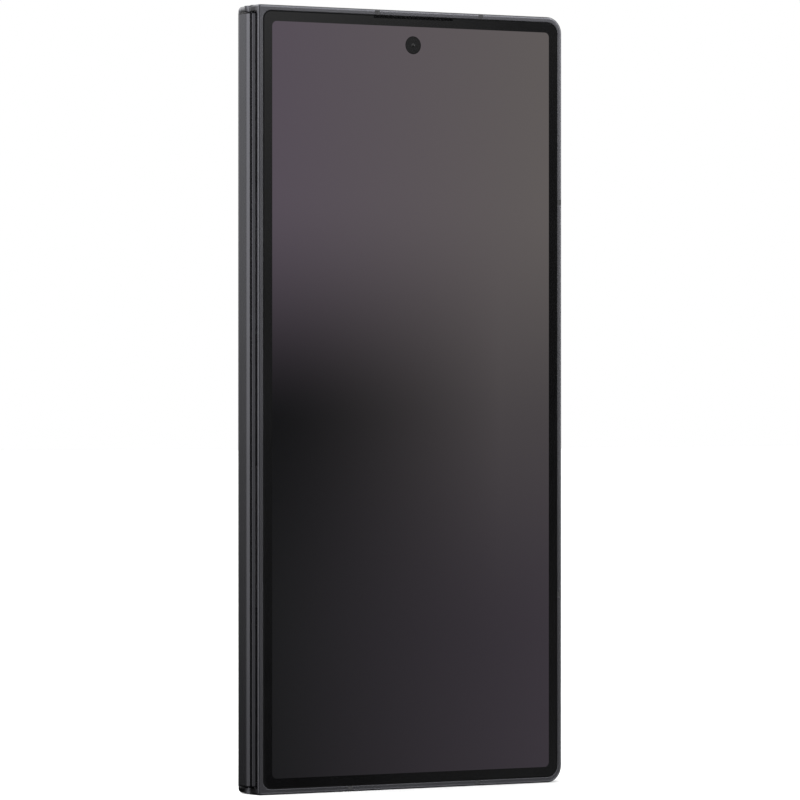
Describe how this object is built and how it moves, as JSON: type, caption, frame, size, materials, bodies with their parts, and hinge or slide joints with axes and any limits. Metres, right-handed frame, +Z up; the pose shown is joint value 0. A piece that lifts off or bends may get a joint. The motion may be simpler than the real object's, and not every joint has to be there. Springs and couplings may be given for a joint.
{
  "type": "folding smartphone",
  "caption": "Book-style folding phone, shut: tall cover screen, flat metal frame, rounded spine on a geared hinge, rear camera island, keys and card tray.",
  "frame": {"origin": "centre of the bounding box's footprint, on the bottom edge the phone stands on", "axes": "+Z up along the phone's height, +Y out of the camera side, -Y out of the cover screen, -X towards the spine"},
  "size_m": [0.0732, 0.011, 0.1584],
  "materials": {
    "frame_metal": "satin",
    "spine_metal": "satin",
    "break_plastic": "matte",
    "cover_glass": "gloss",
    "back_glass": "satin",
    "screen_panel": "gloss",
    "flexible_screen": "gloss",
    "screen_trim": "matte",
    "support_plate": "satin",
    "steel": "satin",
    "hardened_steel": "satin",
    "magnet": "satin",
    "battery_wrap": "matte",
    "circuit_board": "satin",
    "shield_metal": "satin",
    "copper": "satin",
    "ferrite": "matte",
    "black_plastic": "matte",
    "camera_metal": "satin",
    "lens_glass": "gloss",
    "flash_plastic": "gloss"
  },
  "bodies": {
    "hinge": {"spine_cover": "spine_metal", "hinge_blocks": "steel", "torque_plates": "hardened_steel", "display_support_strip": "steel", "spine_screws": "steel", "main_display_fold": "flexible_screen"},
    "front_half": {"front_frame": "frame_metal", "front_antenna_breaks": "break_plastic", "cover_glass": "cover_glass", "cover_display": "screen_panel", "cover_camera": "black_plastic", "earpiece_grille": "steel", "earpiece_speaker": "black_plastic", "front_battery": "battery_wrap", "front_board": "circuit_board", "front_shield_cans": "shield_metal", "sim_reader": "shield_metal", "front_screen_trim": "screen_trim", "main_display_front": "flexible_screen", "front_support_plate": "support_plate", "front_magnets": "magnet", "front_shaft": "hardened_steel", "front_gears": "hardened_steel", "front_screws": "steel"},
    "rear_half": {"rear_frame": "frame_metal", "rear_antenna_breaks": "break_plastic", "back_glass": "back_glass", "camera_island": "camera_metal", "camera_rings": "camera_metal", "camera_lenses": "lens_glass", "camera_modules": "black_plastic", "flash_window": "flash_plastic", "inner_camera": "black_plastic", "rear_battery": "battery_wrap", "main_board": "circuit_board", "main_shield_cans": "shield_metal", "charging_coil": "copper", "coil_shield": "ferrite", "loudspeaker": "black_plastic", "lower_board": "circuit_board", "usb_shell": "steel", "usb_tongue": "black_plastic", "vibration_motor": "steel", "key_switches": "steel", "rear_screen_trim": "screen_trim", "main_display_rear": "flexible_screen", "rear_support_plate": "support_plate", "rear_magnets": "magnet", "rear_shaft": "hardened_steel", "rear_gears": "hardened_steel", "rear_screws": "steel"},
    "volume_key": {"volume_key": "frame_metal"},
    "side_key": {"side_key": "frame_metal"},
    "sim_tray": {"sim_tray": "frame_metal"}
  },
  "joints": [
    {"name": "rear_half_fold", "type": "hinge", "parent": "hinge", "child": "rear_half", "pos_m": [-0.03422, 0.0001, 0.0792], "axis": [0, 0, 1], "range_deg": [0, 90], "deforming": ["main_display_fold"]},
    {"name": "front_half_fold", "type": "hinge", "parent": "hinge", "child": "front_half", "pos_m": [-0.03422, -0.0023, 0.0792], "axis": [0, 0, -1], "range_deg": [0, 90], "deforming": ["main_display_fold"]},
    {"name": "volume_key_press", "type": "slide", "parent": "rear_half", "child": "volume_key", "axis": [-1, 0, 0], "range_m": [0, 0.00025], "stiffness_N_per_m": 4000},
    {"name": "side_key_press", "type": "slide", "parent": "rear_half", "child": "side_key", "axis": [-1, 0, 0], "range_m": [0, 0.00025], "stiffness_N_per_m": 4000},
    {"name": "sim_tray_slide", "type": "slide", "parent": "front_half", "child": "sim_tray", "axis": [0, 0, 1], "range_m": [0, 0.0148]}
  ],
  "couplings": [
    {"joint": "front_half_fold", "follows": "rear_half_fold", "ratio": 1}
  ]
}
